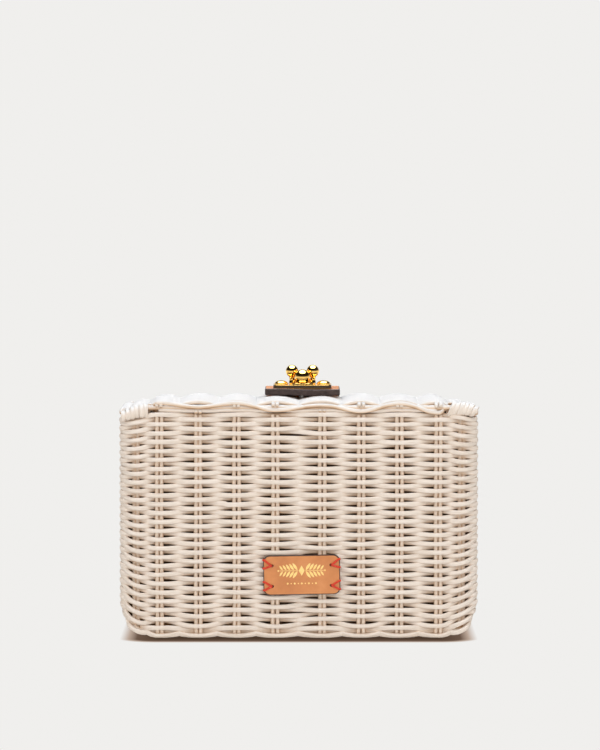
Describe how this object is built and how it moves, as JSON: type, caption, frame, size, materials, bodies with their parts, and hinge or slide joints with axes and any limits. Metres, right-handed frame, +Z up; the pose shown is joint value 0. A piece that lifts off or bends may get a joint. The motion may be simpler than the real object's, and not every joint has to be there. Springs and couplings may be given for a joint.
{
  "type": "wicker box clutch bag",
  "caption": "Small woven box bag of painted reed, with a lid hinged at its back edge and a turning clasp of gold balls on a leather strap.",
  "frame": {"origin": "middle of the flat underside, on the plane it stands on", "axes": "+Z up; +X along the long side; -Y out of the back, where the hinge and the label are; +Y out of the front"},
  "size_m": [0.235, 0.0883, 0.1759],
  "materials": {
    "painted_reed": "cream paint on woven round reed, tan where the paint misses the gaps",
    "lining_cloth": "plain dark brown woven cloth",
    "tan_leather": "smooth tan leather with dark painted edges",
    "red_thread": "waxed orange-red thread",
    "polished_gold": "mirror-polished gold plate",
    "plated_steel": "plated and satin"
  },
  "bodies": {
    "basket": {"side_wall": "painted_reed", "base_panel": "painted_reed", "bottom_border": "painted_reed", "rim_border": "painted_reed", "body_lining": "lining_cloth", "hinge_wrap_left": "painted_reed", "hinge_wrap_right": "painted_reed", "latch_keeper": "plated_steel", "keeper_rivet_left": "plated_steel", "keeper_rivet_right": "plated_steel", "label_patch": "tan_leather", "label_stitch_top_left": "red_thread", "label_stitch_top_right": "red_thread", "label_stitch_low_left": "red_thread", "label_stitch_low_right": "red_thread"},
    "lid": {"lid_panel": "painted_reed", "lid_border": "painted_reed", "lid_hinge_rod": "painted_reed", "lid_lining": "lining_cloth", "clasp_strap": "tan_leather", "clasp_plate": "polished_gold", "clasp_rivet_left": "polished_gold", "clasp_rivet_right": "polished_gold"},
    "knob": {"knob_turret": "polished_gold", "knob_ball_left": "polished_gold", "knob_ball_right": "polished_gold", "knob_ball_middle": "polished_gold", "knob_shaft": "plated_steel", "latch_washer": "plated_steel", "latch_cam": "plated_steel", "latch_nut": "plated_steel"}
  },
  "joints": [
    {"name": "lid_hinge", "type": "hinge", "parent": "basket", "child": "lid", "pos_m": [0, -0.036, 0.1508], "axis": [1, 0, 0], "range_deg": [0, 100]},
    {"name": "knob_turn", "type": "hinge", "parent": "lid", "child": "knob", "pos_m": [0.0024, 0.014, 0.1632], "axis": [0, 0, 1], "range_deg": [0, 90]}
  ]
}
